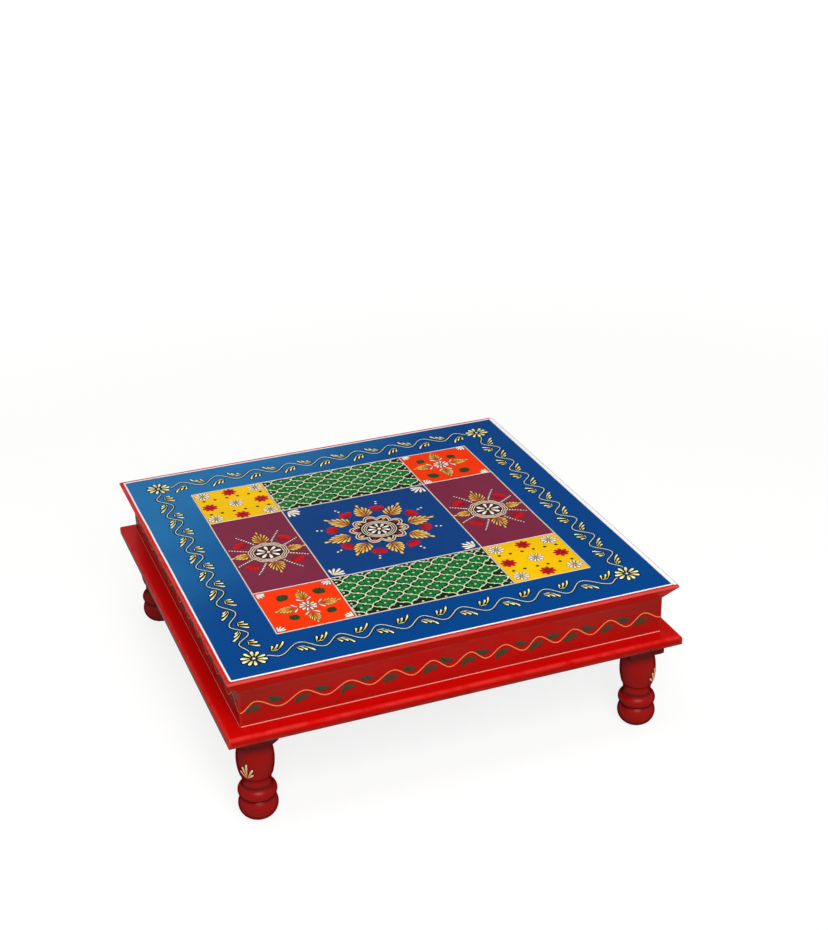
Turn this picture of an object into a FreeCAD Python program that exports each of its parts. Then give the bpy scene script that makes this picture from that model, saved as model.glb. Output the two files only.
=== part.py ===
import FreeCAD, Part
import os
import Sketcher
from FreeCAD import Placement, Rotation, Vector

# A low square table of painted wood. A board with a bevelled underside lies on a box of four aprons,
# the box stands on a wider board, and four turned legs carry that board under the box's corners.
# The origin is on the floor under the middle of the table, +Z is up and the front faces -Y.

document = FreeCAD.newDocument("low_table")

# Driving sizes in millimetres
driving_sizes = {
    # Box of aprons, outer face to outer face
    "boxWidth": 427.0,
    "apronTall": 38.4,
    "apronThick": 12.0,
    "apronRound": 0.8,
    # Top board, and how far its nose stands out from the box
    "topOverhang": 11.5,
    "topThick": 17.0,
    "noseTall": 2.3,
    "noseRound": 1.3,
    # Blocks glued into the box's corners
    "blockWidth": 32.0,
    "blockCut": 15.0,
    # Base board, and how far its edge stands out from the box
    "baseOverhang": 15.5,
    "baseThick": 10.0,
    "baseTopRound": 3.0,
    "baseUnderRound": 1.5,
    # Square head of a leg, and its shoulder: cut square, or sloped by the turner on one leg
    "headWidth": 37.0,
    "headTall": 13.5,
    "headProud": 3.0,
    "squareShoulderRadius": 24.5,
    "squareShoulderTall": 6.0,
    "slopedShoulderRadius": 21.5,
    "slopedShoulderTall": 15.0,
    # Turned part of a leg: radius and height above the floor, from the foot up
    "footRadius": 10.5,
    "bulbRadius": 18.8,
    "bulbHeight": 11.5,
    "grooveRadius": 15.8,
    "grooveHeight": 22.4,
    "beadRadius": 18.6,
    "beadHeight": 28.8,
    "beadTopRadius": 15.0,
    "beadTopHeight": 34.8,
    "neckRadius": 13.9,
    "neckHeight": 40.0,
    "vaseFootRadius": 15.9,
    "vaseFootHeight": 47.5,
    "vaseRadius": 18.0,
    "vaseHeight": 61.0,
    "vaseTopRadius": 14.0,
    "turnedTall": 84.0,
    # Round tenon on each leg, glued into the base board, and the wedge that spreads it
    "tenonRadius": 11.0,
    "tenonGap": 0.1,
    "wedgeWide": 19.0,
    "wedgeTall": 9.0,
    "wedgeTop": 3.2,
    "wedgeTip": 1.0,
    # Countersunk screws, up through the base board into the aprons, placed from the box's corners
    "screwInset": 93.5,
    "screwLong": 34.0,
    "screwRadius": 1.75,
    "screwTip": 5.0,
    "screwHeadRadius": 3.6,
    "screwHeadTall": 2.4,
    "slotWide": 0.9,
    "slotDeep": 1.1,
    # Lost-head nails: down through the top board, placed from the box's corners, and through those corners
    "topNailInset": 63.5,
    "nailRadius": 1.1,
    "nailHeadRadius": 2.0,
    "nailHeadTall": 1.2,
    "nailTip": 3.0,
    "topNailLong": 40.0,
    "topNailSunk": 1.6,
    "cornerNailLong": 34.0,
    "cornerNailSunk": 1.2,
    "cornerNailLow": 10.0,
    "cornerNailApart": 18.0,
}

sheet = document.addObject("Spreadsheet::Sheet", "Sizes")
for row, (alias, value) in enumerate(driving_sizes.items(), start=1):
    sheet.set(f"A{row}", alias)
    sheet.set(f"B{row}", str(value))
    sheet.setAlias(f"B{row}", alias)
document.recompute()

# Levels above the floor, and places measured from the middle of the table
base_under = "Sizes.turnedTall + Sizes.headTall"
base_top = f"{base_under} + Sizes.baseThick"
top_under = f"{base_top} + Sizes.apronTall"
top_face = f"{top_under} + Sizes.topThick"
leg_place = "Sizes.boxWidth / 2 + Sizes.headProud - Sizes.headWidth / 2"
apron_place = "Sizes.boxWidth / 2 - Sizes.apronThick / 2"
block_place = "Sizes.boxWidth / 2 - Sizes.apronThick"
screw_run = "Sizes.boxWidth / 2 - Sizes.screwInset"
top_nail_run = "Sizes.boxWidth / 2 - Sizes.topNailInset"

# Widths of the boards over the box
top_width = "Sizes.boxWidth + 2 * Sizes.topOverhang"
base_width = "Sizes.boxWidth + 2 * Sizes.baseOverhang"

# Signs of x and y for the corners, a quarter turn from one to the next
corners = {
    "front_left": (-1, -1),
    "front_right": (1, -1),
    "back_right": (1, 1),
    "back_left": (-1, 1),
}
upward = Vector(0, 0, 1)
full_turn = 360
quarter_turn = 90

# Share of a board's width within which an edge counts as part of its outline
rim_share = 0.01


def signed(sign, expression):
    return f"{sign} * ({expression})"


def new_body(label):
    return document.addObject("PartDesign::Body", label)


def origin_feature(body, role):
    return next(item for item in body.Origin.OriginFeatures if item.Role == role)


def new_sketch(body, name, plane="XY_Plane", **offsets):
    """Sketch on one of the body's own planes, moved by expressions along the plane's axes."""
    sketch = body.newObject("Sketcher::SketchObject", name)
    sketch.AttachmentSupport = (origin_feature(body, plane), "")
    sketch.MapMode = "FlatFace"
    for axis, expression in offsets.items():
        sketch.setExpression(f"AttachmentOffset.Base.{axis}", expression)
    return sketch


def constrain(sketch, kind, places, expression, rough=1.0):
    index = sketch.addConstraint(Sketcher.Constraint(kind, *places, rough))
    sketch.setExpression(f"Constraints[{index}]", expression)


def close_loop(sketch, first, count):
    for step in range(count):
        after = first + (step + 1) % count
        sketch.addConstraint(Sketcher.Constraint("Coincident", first + step, 2, after, 1))


def draw_rectangle(sketch, across, deep):
    """Rectangle round the sketch's origin."""
    corner_points = [Vector(-1, -1), Vector(1, -1), Vector(1, 1), Vector(-1, 1)]
    for start, end in zip(corner_points, corner_points[1:] + corner_points[:1]):
        sketch.addGeometry(Part.LineSegment(start, end), False)
    close_loop(sketch, 0, 4)
    for side, kind in enumerate(("Horizontal", "Vertical", "Horizontal", "Vertical")):
        sketch.addConstraint(Sketcher.Constraint(kind, side))
    sketch.addConstraint(Sketcher.Constraint("Symmetric", 0, 1, 1, 2, -1, 1))
    constrain(sketch, "DistanceX", (0, 1, 0, 2), across)
    constrain(sketch, "DistanceY", (1, 1, 1, 2), deep)


def draw_circle(sketch, radius):
    sketch.addGeometry(Part.Circle(Vector(), upward, 1), False)
    sketch.addConstraint(Sketcher.Constraint("Coincident", 0, 3, -1, 1))
    constrain(sketch, "Radius", (0,), radius)


def place_point(sketch, geometry, end, across, up):
    """Tie a point to expressions, where "0" means that it lies on the sketch's axis."""
    for kind, expression in (("DistanceX", across), ("DistanceY", up)):
        if expression == "0":
            sketch.addConstraint(Sketcher.Constraint(kind, -1, 1, geometry, end, 0.0))
        else:
            constrain(sketch, kind, (-1, 1, geometry, end), expression)


def draw_polygon(sketch, points):
    """Polygon through points given as pairs of expressions."""
    rough = [Vector(step, step * step) for step in range(len(points))]
    for start, end in zip(rough, rough[1:] + rough[:1]):
        sketch.addGeometry(Part.LineSegment(start, end), False)
    close_loop(sketch, 0, len(points))
    for index, (across, up) in enumerate(points):
        place_point(sketch, index, 1, across, up)


def add_pad(body, name, sketch, length, both_ways=False):
    pad = body.newObject("PartDesign::Pad", name)
    pad.Profile = sketch
    pad.setExpression("Length", length)
    if both_ways:
        pad.SideType = "Symmetric"
    document.recompute()
    return pad


def add_pocket(body, name, sketch, depth):
    """Cut upward from the sketch's plane."""
    pocket = body.newObject("PartDesign::Pocket", name)
    pocket.Profile = sketch
    pocket.setExpression("Length", depth)
    pocket.Reversed = True
    document.recompute()
    return pocket


def add_turning(body, name, sketch, kind="PartDesign::Revolution"):
    """Revolve a half profile round its sketch's upright axis."""
    turning = body.newObject(kind, name)
    turning.Profile = sketch
    turning.ReferenceAxis = (sketch, ["V_Axis"])
    turning.Angle = full_turn
    document.recompute()
    return turning


def repeat_round(body, name, originals, count=4):
    """Repeat features round the table's upright middle line."""
    pattern = body.newObject("PartDesign::PolarPattern", name)
    pattern.Originals = originals
    pattern.Axis = (origin_feature(body, "Z_Axis"), [""])
    pattern.Angle = full_turn
    pattern.Occurrences = count
    body.Tip = pattern
    document.recompute()
    return pattern


def edges_where(feature, test):
    box = feature.Shape.BoundBox
    return [f"Edge{number}" for number, edge in enumerate(feature.Shape.Edges, start=1) if test(edge, box)]


def is_level(edge):
    return edge.BoundBox.ZLength < edge.Length / 2


def is_outline(edge, box):
    """Whether an edge runs level along the outside of a square board round the origin."""
    middle = edge.BoundBox.Center
    return is_level(edge) and box.XMax - max(abs(middle.x), abs(middle.y)) < rim_share * box.XLength


def is_upper_outline(edge, box):
    return is_outline(edge, box) and edge.BoundBox.Center.z > box.Center.z


def is_lower_outline(edge, box):
    return is_outline(edge, box) and edge.BoundBox.Center.z < box.Center.z


def add_fillet(body, name, base, edges, radius):
    fillet = body.newObject("PartDesign::Fillet", name)
    fillet.Base = (base, edges)
    fillet.setExpression("Radius", radius)
    document.recompute()
    return fillet


def cut_for(node, wood, fittings):
    """Final piece of wood, with the holes that its fittings fill."""
    tool = fittings[0]
    if len(fittings) > 1:
        tool = document.addObject("Part::Compound", f"{node}_fittings")
        tool.Links = fittings
    piece = document.addObject("Part::Cut", node)
    piece.Base = wood
    piece.Tool = tool
    document.recompute()
    return piece


subparts = {}


# Wedges in the ends of the tenons

wedges = new_body("leg_wedges")
wedge_outline = [
    ("(Sizes.wedgeTop - Sizes.wedgeTip) / 2", "0"),
    ("(Sizes.wedgeTop + Sizes.wedgeTip) / 2", "0"),
    ("Sizes.wedgeTop", "Sizes.wedgeTall"),
    ("0", "Sizes.wedgeTall"),
]
wedge_sketch = new_sketch(
    wedges,
    "wedge_end",
    "XZ_Plane",
    x=f"{signed(-1, leg_place)} - Sizes.wedgeTop / 2",
    y=f"{base_top} - Sizes.wedgeTall",
    z=leg_place,
)
draw_polygon(wedge_sketch, wedge_outline)
wedge_pad = add_pad(wedges, "wedge", wedge_sketch, "Sizes.wedgeWide", both_ways=True)
repeat_round(wedges, "wedge_in_each_leg", [wedge_pad])
subparts["leg_wedges"] = wedges


# Countersunk screws: two up into each apron, with a slot across each head

screw_outline = [
    ("0", "0"),
    ("Sizes.screwHeadRadius", "0"),
    ("Sizes.screwRadius", "Sizes.screwHeadTall"),
    ("Sizes.screwRadius", "Sizes.screwLong - Sizes.screwTip"),
    ("0", "Sizes.screwLong"),
]
screws = new_body("base_screw_blanks")
screw_slots = new_body("base_screw_slots")
screw_turnings = []
slot_pads = []
for side in (-1, 1):
    along = signed(side, screw_run)
    screw_sketch = new_sketch(
        screws, f"screw_half_{side + 2}", "XZ_Plane", x=along, y=base_under, z=apron_place
    )
    draw_polygon(screw_sketch, screw_outline)
    screw_turnings.append(add_turning(screws, f"screw_{side + 2}", screw_sketch))
    slot_sketch = new_sketch(
        screw_slots, f"slot_outline_{side + 2}", x=along, y=signed(-1, apron_place), z=base_under
    )
    draw_rectangle(slot_sketch, "2 * Sizes.screwHeadRadius", "Sizes.slotWide")
    slot_pads.append(add_pad(screw_slots, f"slot_{side + 2}", slot_sketch, "Sizes.slotDeep"))
repeat_round(screws, "screws_in_each_apron", screw_turnings)
repeat_round(screw_slots, "slots_in_each_screw", slot_pads)
base_screws = cut_for("base_screws", screws, [screw_slots])
subparts["base_screws"] = base_screws


# Lost-head nails: three down into each apron, and two through each corner of the box

def nail_outline(long_expression):
    """Half profile of a nail from its tip up to its head."""
    return [
        ("0", "0"),
        ("Sizes.nailRadius", "Sizes.nailTip"),
        ("Sizes.nailRadius", f"{long_expression} - Sizes.nailHeadTall"),
        ("Sizes.nailHeadRadius", f"{long_expression} - Sizes.nailHeadTall"),
        ("Sizes.nailHeadRadius", long_expression),
        ("0", long_expression),
    ]


top_nails = new_body("top_nails")
top_nail_tip = f"{top_face} - Sizes.topNailSunk - Sizes.topNailLong"
top_nail_turnings = []
for side in (-1, 0, 1):
    nail_sketch = new_sketch(
        top_nails,
        f"top_nail_half_{side + 2}",
        "XZ_Plane",
        x=signed(side, top_nail_run),
        y=top_nail_tip,
        z=apron_place,
    )
    draw_polygon(nail_sketch, nail_outline("Sizes.topNailLong"))
    top_nail_turnings.append(add_turning(top_nails, f"top_nail_{side + 2}", nail_sketch))
repeat_round(top_nails, "top_nails_in_each_apron", top_nail_turnings)
subparts["top_nails"] = top_nails

corner_nails = new_body("corner_nails")
corner_nail_turnings = []
corner_nail_tip = "Sizes.boxWidth / 2 - Sizes.cornerNailSunk - Sizes.cornerNailLong"
for side in (-1, 1):
    for step in (0, 1):
        name = f"corner_nail_{side + 2}_{step + 1}"
        level = f"{base_top} + Sizes.cornerNailLow + {step} * Sizes.cornerNailApart"
        nail_sketch = new_sketch(
            corner_nails, f"{name}_half", x=signed(side, apron_place), y=corner_nail_tip, z=level
        )
        draw_polygon(nail_sketch, nail_outline("Sizes.cornerNailLong"))
        corner_nail_turnings.append(add_turning(corner_nails, name, nail_sketch))
repeat_round(corner_nails, "corner_nails_front_and_back", corner_nail_turnings, count=2)
subparts["corner_nails"] = corner_nails


# Top board: a flat square bevelled in to the box's faces below a narrow nose, whose two edges are rounded

top_blank = new_body("top_board_blank")
top_sketch = new_sketch(top_blank, "top_outline", z=top_under)
draw_rectangle(top_sketch, top_width, top_width)
top_pad = add_pad(top_blank, "top_slab", top_sketch, "Sizes.topThick")
bevel = top_blank.newObject("PartDesign::Chamfer", "under_bevel")
bevel.Base = (top_pad, edges_where(top_pad, is_lower_outline))
bevel.ChamferType = "Two distances"
bevel.setExpression("Size", "Sizes.topThick - Sizes.noseTall")
bevel.setExpression("Size2", "Sizes.topOverhang")
document.recompute()
add_fillet(top_blank, "nose_round", bevel, edges_where(bevel, is_upper_outline), "Sizes.noseRound")
subparts["top_board"] = cut_for("top_board", top_blank, [top_nails])


# Aprons: the front and back ones run the whole width, the side ones fit between them

def make_apron(node, length, x_sign, y_sign, turn, rounded):
    blank = new_body(f"{node}_blank")
    blank.Placement = Placement(Vector(), Rotation(upward, turn))
    blank.setExpression("Placement.Base.x", signed(x_sign, apron_place))
    blank.setExpression("Placement.Base.y", signed(y_sign, apron_place))
    blank.setExpression("Placement.Base.z", base_top)
    outline = new_sketch(blank, f"{node}_outline")
    draw_rectangle(outline, length, "Sizes.apronThick")
    slab = add_pad(blank, f"{node}_slab", outline, "Sizes.apronTall")
    if rounded:
        corner_edges = edges_where(
            slab, lambda edge, box: not is_level(edge) and edge.BoundBox.Center.y < box.Center.y
        )
        add_fillet(blank, f"{node}_corners", slab, corner_edges, "Sizes.apronRound")
    return cut_for(node, blank, [top_nails, base_screws, corner_nails])


whole_length = "Sizes.boxWidth"
between_length = "Sizes.boxWidth - 2 * Sizes.apronThick"
apron_layout = {
    "apron_front": (whole_length, 0, -1, 0, True),
    "apron_back": (whole_length, 0, 1, 2 * quarter_turn, True),
    "apron_left": (between_length, -1, 0, -quarter_turn, False),
    "apron_right": (between_length, 1, 0, quarter_turn, False),
}
for node, layout in apron_layout.items():
    subparts[node] = make_apron(node, *layout)


# Blocks glued into the corners of the box, their inner corner cut off

block_outline = [
    ("0", "0"),
    ("Sizes.blockWidth", "0"),
    ("Sizes.blockWidth", "Sizes.blockWidth - Sizes.blockCut"),
    ("Sizes.blockWidth - Sizes.blockCut", "Sizes.blockWidth"),
    ("0", "Sizes.blockWidth"),
]
for step, (corner, (x_sign, y_sign)) in enumerate(corners.items()):
    block = new_body(f"corner_block_{corner}")
    block.Placement = Placement(Vector(), Rotation(upward, step * quarter_turn))
    block.setExpression("Placement.Base.x", signed(x_sign, block_place))
    block.setExpression("Placement.Base.y", signed(y_sign, block_place))
    block.setExpression("Placement.Base.z", base_top)
    outline = new_sketch(block, f"block_outline_{corner}")
    draw_polygon(outline, block_outline)
    add_pad(block, f"block_{corner}", outline, "Sizes.apronTall")
    subparts[f"corner_block_{corner}"] = block


# Base board: rounded edges, and a hole for the tenon of each leg

base_blank = new_body("base_board_blank")
base_sketch = new_sketch(base_blank, "base_outline", z=base_under)
draw_rectangle(base_sketch, base_width, base_width)
base_pad = add_pad(base_blank, "base_slab", base_sketch, "Sizes.baseThick")
upper_edges = edges_where(base_pad, is_upper_outline)
upper_round = add_fillet(base_blank, "upper_round", base_pad, upper_edges, "Sizes.baseTopRound")
under_edges = edges_where(upper_round, is_lower_outline)
add_fillet(base_blank, "under_round", upper_round, under_edges, "Sizes.baseUnderRound")
hole_sketch = new_sketch(
    base_blank, "tenon_hole", x=signed(-1, leg_place), y=signed(-1, leg_place), z=base_under
)
draw_circle(hole_sketch, "Sizes.tenonRadius + Sizes.tenonGap")
hole = add_pocket(base_blank, "tenon_pocket", hole_sketch, "Sizes.baseThick")
repeat_round(base_blank, "tenon_pockets", [hole])
subparts["base_board"] = cut_for("base_board", base_blank, [base_screws])


# Legs: foot, bulb, bead, neck and vase turned in one piece with a square head and a round tenon

# Radius and height of each point of the half profile, and the arcs through them from the foot up
turned_points = {
    "foot": ("footRadius", None),
    "bulb": ("bulbRadius", "bulbHeight"),
    "groove": ("grooveRadius", "grooveHeight"),
    "bead": ("beadRadius", "beadHeight"),
    "bead_top": ("beadTopRadius", "beadTopHeight"),
    "neck": ("neckRadius", "neckHeight"),
    "vase_foot": ("vaseFootRadius", "vaseFootHeight"),
    "vase": ("vaseRadius", "vaseHeight"),
    "vase_top": ("vaseTopRadius", "turnedTall"),
}
turned_arcs = [
    ("foot", "bulb", "groove"),
    ("groove", "bead", "bead_top"),
    ("bead_top", "neck", "vase_foot"),
    ("vase_foot", "vase", "vase_top"),
]


def rough_point(name):
    return Vector(*(driving_sizes[alias] if alias else 0 for alias in turned_points[name]))


def tie_point(sketch, geometry, end, name):
    for kind, alias in zip(("DistanceX", "DistanceY"), turned_points[name]):
        places = (-1, 1, geometry, end)
        if alias:
            constrain(sketch, kind, places, f"Sizes.{alias}", driving_sizes[alias])
        else:
            sketch.addConstraint(Sketcher.Constraint(kind, *places, 0.0))


def draw_turned_profile(sketch):
    arcs = []
    for start, through, finish in turned_arcs:
        low, mid, high = (rough_point(name) for name in (start, through, finish))
        arcs.append(sketch.addGeometry(Part.Arc(low, mid, high), False))
        middle = sketch.addGeometry(Part.Point(mid), True)
        # The sketch starts an arc that bulges outward at its foot, and a hollow one at its top
        bulges = (mid - low).cross(high - low).z > 0
        lower, upper = (1, 2) if bulges else (2, 1)
        tie_point(sketch, arcs[-1], lower, start)
        tie_point(sketch, arcs[-1], upper, finish)
        tie_point(sketch, middle, 1, through)
        sketch.addConstraint(Sketcher.Constraint("PointOnObject", middle, 1, arcs[-1]))
    foot = rough_point("foot")
    top = rough_point("vase_top")
    axis_top = Vector(0, top.y)
    foot_line = sketch.addGeometry(Part.LineSegment(Vector(), foot), False)
    top_line = sketch.addGeometry(Part.LineSegment(top, axis_top), False)
    axis_line = sketch.addGeometry(Part.LineSegment(axis_top, Vector()), False)
    sketch.addConstraint(Sketcher.Constraint("Coincident", foot_line, 1, -1, 1))
    sketch.addConstraint(Sketcher.Constraint("Coincident", foot_line, 2, arcs[0], 1))
    sketch.addConstraint(Sketcher.Constraint("Coincident", top_line, 1, arcs[-1], 2))
    sketch.addConstraint(Sketcher.Constraint("Coincident", top_line, 2, axis_line, 1))
    sketch.addConstraint(Sketcher.Constraint("Coincident", axis_line, 2, -1, 1))
    sketch.addConstraint(Sketcher.Constraint("Horizontal", top_line))
    sketch.addConstraint(Sketcher.Constraint("Vertical", axis_line))


def make_leg(corner, x_sign, y_sign, shoulder):
    node = f"leg_{corner}"
    blank = new_body(f"{node}_blank")
    blank.setExpression("Placement.Base.x", signed(x_sign, leg_place))
    blank.setExpression("Placement.Base.y", signed(y_sign, leg_place))
    profile = new_sketch(blank, f"{node}_profile", "XZ_Plane")
    draw_turned_profile(profile)
    add_turning(blank, f"{node}_turning", profile)
    head_sketch = new_sketch(blank, f"{node}_head_outline", z="Sizes.turnedTall")
    draw_rectangle(head_sketch, "Sizes.headWidth", "Sizes.headWidth")
    add_pad(blank, f"{node}_head", head_sketch, "Sizes.headTall")
    tenon_sketch = new_sketch(blank, f"{node}_tenon_outline", z=base_under)
    draw_circle(tenon_sketch, "Sizes.tenonRadius")
    add_pad(blank, f"{node}_tenon", tenon_sketch, "Sizes.baseThick")
    shoulder_sketch = new_sketch(blank, f"{node}_shoulder_cut", "XZ_Plane", y="Sizes.turnedTall")
    radius = f"Sizes.{shoulder}ShoulderRadius"
    tall = f"Sizes.{shoulder}ShoulderTall"
    draw_polygon(shoulder_sketch, [(radius, "0"), ("Sizes.headWidth", "0"), ("Sizes.headWidth", tall)])
    add_turning(blank, f"{node}_shoulder", shoulder_sketch, "PartDesign::Groove")
    return cut_for(node, blank, [wedges])


for corner, signs in corners.items():
    shoulder = "sloped" if corner == "front_left" else "square"
    subparts[f"leg_{corner}"] = make_leg(corner, *signs, shoulder)


# Check everything, then write one file for each sub-part

document.recompute()
for item in document.Objects:
    if "Invalid" in item.State or "Error" in item.State:
        raise RuntimeError(f"{item.Label} failed: {item.State}")
solids_expected = {"leg_wedges": 4, "base_screws": 8, "top_nails": 12, "corner_nails": 8}
for node, piece in subparts.items():
    shape = piece.Shape
    if shape.isNull() or not shape.isValid():
        raise RuntimeError(f"{node} has no valid shape")
    if len(shape.Solids) != solids_expected.get(node, 1):
        raise RuntimeError(f"{node} has {len(shape.Solids)} solids")

os.makedirs("parts", exist_ok=True)
for node, piece in subparts.items():
    piece.Shape.exportStep(f"parts/{node}.step")
    print(f"{node}: {len(piece.Shape.Solids)} solids, {piece.Shape.Volume:.0f} mm3")
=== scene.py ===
import math
import random
from functools import partialmethod

import bmesh
import bpy
from mathutils import Matrix, Vector
from mathutils.bvhtree import BVHTree


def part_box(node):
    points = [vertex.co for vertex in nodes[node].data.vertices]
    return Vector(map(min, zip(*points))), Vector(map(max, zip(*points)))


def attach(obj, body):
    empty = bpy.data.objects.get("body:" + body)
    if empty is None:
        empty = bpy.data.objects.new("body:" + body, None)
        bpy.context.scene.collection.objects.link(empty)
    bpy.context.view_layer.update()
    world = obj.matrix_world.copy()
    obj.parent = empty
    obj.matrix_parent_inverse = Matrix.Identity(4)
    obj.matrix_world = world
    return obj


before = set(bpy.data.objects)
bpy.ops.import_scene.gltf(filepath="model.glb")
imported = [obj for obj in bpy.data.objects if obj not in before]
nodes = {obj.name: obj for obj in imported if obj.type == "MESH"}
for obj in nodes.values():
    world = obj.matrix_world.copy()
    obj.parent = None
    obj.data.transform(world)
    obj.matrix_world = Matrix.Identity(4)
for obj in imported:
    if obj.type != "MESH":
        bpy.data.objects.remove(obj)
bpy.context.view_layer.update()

mm = 0.001
scene = bpy.context.scene
scene.view_settings.view_transform = "Standard"

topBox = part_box("top_board")
topFace = topBox[1].z
apronFace = -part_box("apron_front")[0].y


def colour(red, green, blue):
    def linear(value):
        value /= 255
        return value / 12.92 if value <= 0.04045 else ((value + 0.055) / 1.055) ** 2.4
    return (linear(red), linear(green), linear(blue), 1.0)


class Dice(random.Random):
    def shake(self, reach):
        return self.uniform(-reach, reach)


def linked(name, data):
    made = bpy.data.objects.new(name, data)
    scene.collection.objects.link(made)
    return made


def meshOf(name, shape):
    mesh = bpy.data.meshes.new(name)
    shape.to_mesh(mesh)
    shape.free()
    return mesh


# Camera
cameraSetup = {
    "place": (-0.49721, -1.42437, 0.93496),
    "right": (0.931861, -0.362147, -0.022007),
    "up": (0.170900, 0.384629, 0.907113),
    "back": (-0.320044, -0.849064, 0.420312),
    "lens": 63.2917,
}


def makeCamera(setup):
    data = bpy.data.cameras.new("camera")
    data.lens = setup["lens"]
    data.sensor_width = 36
    data.clip_end = 60
    turn = Matrix((setup["right"], setup["up"], setup["back"])).transposed().to_4x4()
    scene.camera = linked("camera", data)
    scene.camera.matrix_world = Matrix.Translation(setup["place"]) @ turn


makeCamera(cameraSetup)
print("camera set")


# Node helpers
class Graph:
    def __init__(self, tree):
        self.tree = tree

    def add(self, kind, settings=None, **inputs):
        made = self.tree.nodes.new(kind)
        for name, value in (settings or {}).items():
            setattr(made, name, value)
        for name, value in inputs.items():
            self.feed(made.inputs[name.replace("_", " ")], value)
        return made

    def feed(self, socket, value):
        if hasattr(value, "is_output"):
            self.tree.links.new(value, socket)
        else:
            socket.default_value = value

    def math(self, operation, *values, clamp=False):
        made = self.add("ShaderNodeMath", {"operation": operation, "use_clamp": clamp})
        for socket, value in zip(made.inputs, values):
            self.feed(socket, value)
        return made.outputs[0]

    plus = partialmethod(math, "ADD")
    minus = partialmethod(math, "SUBTRACT")
    times = partialmethod(math, "MULTIPLY")
    most = partialmethod(math, "MAXIMUM")

    def vector(self, operation, *values, **inputs):
        made = self.add("ShaderNodeVectorMath", {"operation": operation}, **inputs)
        for socket, value in zip(made.inputs, values):
            self.feed(socket, value)
        return made.outputs

    # Sockets 6, 7 and 2 of a Mix node are its two colours and the mixed colour
    def mix(self, factor, first, second):
        made = self.add("ShaderNodeMix", {"data_type": "RGBA"})
        for place, value in ((0, factor), (6, first), (7, second)):
            self.feed(made.inputs[place], value)
        return made.outputs[2]

    def ramp(self, value, low, high, toLow=0.0, toHigh=1.0):
        made = self.add("ShaderNodeMapRange", {"interpolation_type": "SMOOTHSTEP"})
        for socket, item in zip(made.inputs, (value, low, high, toLow, toHigh)):
            self.feed(socket, item)
        return made.outputs[0]

    def noise(self, vector, scale, detail=3.0, roughness=0.5):
        return self.add("ShaderNodeTexNoise", Vector=vector, Scale=scale, Detail=detail,
                        Roughness=roughness).outputs["Fac"]

    def split(self, vector):
        return self.add("ShaderNodeSeparateXYZ", Vector=vector).outputs

    def bump(self, strength, distance, height):
        return self.add("ShaderNodeBump", Strength=strength, Distance=distance, Height=height).outputs[0]


# A socket's kind follows from its default
def newGroup(name, inputs, outputs):
    kinds = {3: "NodeSocketVector", 4: "NodeSocketColor"}
    group = bpy.data.node_groups.new(name, "ShaderNodeTree")
    for direction, sockets in (("INPUT", inputs), ("OUTPUT", outputs)):
        for label, default in sockets.items():
            kind = kinds[len(default)] if isinstance(default, tuple) else "NodeSocketFloat"
            socket = group.interface.new_socket(name=label, in_out=direction, socket_type=kind)
            socket.default_value = default
    graph = Graph(group)
    return group, graph, graph.add("NodeGroupInput").outputs, graph.add("NodeGroupOutput").inputs


# Brush-laid enamel: streaks along the brush, slow changes of tone, a fine peel
def makeBrushedPaint():
    group, g, put, out = newGroup(
        "brushedPaint",
        {"Vector": (0, 0, 0), "Color": (1, 1, 1, 1), "Stretch": (1, 1, 1), "Streaks": 0.1, "Clouds": 0.1,
         "Shine": 0.25, "Depth": 0.2},
        {"Color": (1, 1, 1, 1), "Roughness": 0.5, "Normal": (0, 0, 0)},
    )
    streak = g.noise(g.vector("MULTIPLY", put["Vector"], put["Stretch"])[0], 1.0, 4.0, 0.6)
    cloud = g.noise(put["Vector"], 14.0, 3.0, 0.55)
    peel = g.noise(put["Vector"], 420.0, 2.0, 0.5)
    streakTone = g.times(g.minus(streak, 0.5), put["Streaks"])
    cloudTone = g.times(g.minus(cloud, 0.5), put["Clouds"])
    tone = g.plus(g.plus(streakTone, cloudTone), 1.0)
    shaded = g.add("ShaderNodeHueSaturation", Value=tone, Color=put["Color"])
    g.feed(out["Color"], shaded.outputs[0])
    rough = g.plus(put["Shine"], g.times(g.minus(cloud, 0.4), 0.1))
    g.feed(out["Roughness"], g.plus(rough, g.times(streak, 0.06)))
    height = g.plus(streak, g.times(peel, 0.12))
    g.feed(out["Normal"], g.bump(put["Depth"], 0.0006, height))
    return group


# Thin, worn paint and a painted highlight on the arrises of a square board: where two of its outer planes are
# near, broken up by noise
def makeEdgeWearAndHighlight():
    group, g, put, out = newGroup(
        "edgeWearAndHighlight",
        {"Vector": (0, 0, 0), "Half": 0.22, "Low": 0.0, "High": 0.1, "Reach": 0.001, "Amount": 0.5},
        {"Mask": 0.0},
    )
    *sides, level = g.split(put["Vector"])
    gapX, gapY = (g.minus(put["Half"], g.math("ABSOLUTE", value)) for value in sides)
    gapZ = g.math("MINIMUM", g.minus(put["High"], level), g.minus(level, put["Low"]))
    largest = g.most(g.most(gapX, gapY), gapZ)
    together = g.minus(g.plus(g.plus(gapX, gapY), gapZ), largest)
    near = g.minus(1.0, g.math("DIVIDE", together, put["Reach"]), clamp=True)
    patchy = g.ramp(g.noise(put["Vector"], 60.0, 5.0, 0.7), 0.3, 0.62)
    g.feed(out["Mask"], g.times(g.times(near, patchy), put["Amount"], clamp=True))
    return group


brushedPaint = makeBrushedPaint()
edgeWearAndHighlight = makeEdgeWearAndHighlight()


def newMaterial(name, **shader):
    material = bpy.data.materials.new(name)
    material.use_nodes = True
    g = Graph(material.node_tree)
    principled = material.node_tree.nodes["Principled BSDF"]
    for label, value in shader.items():
        principled.inputs[label.replace("_", " ")].default_value = value
    place = g.add("ShaderNodeTexCoord").outputs["Object"]
    return material, g, principled.inputs, place


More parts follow.
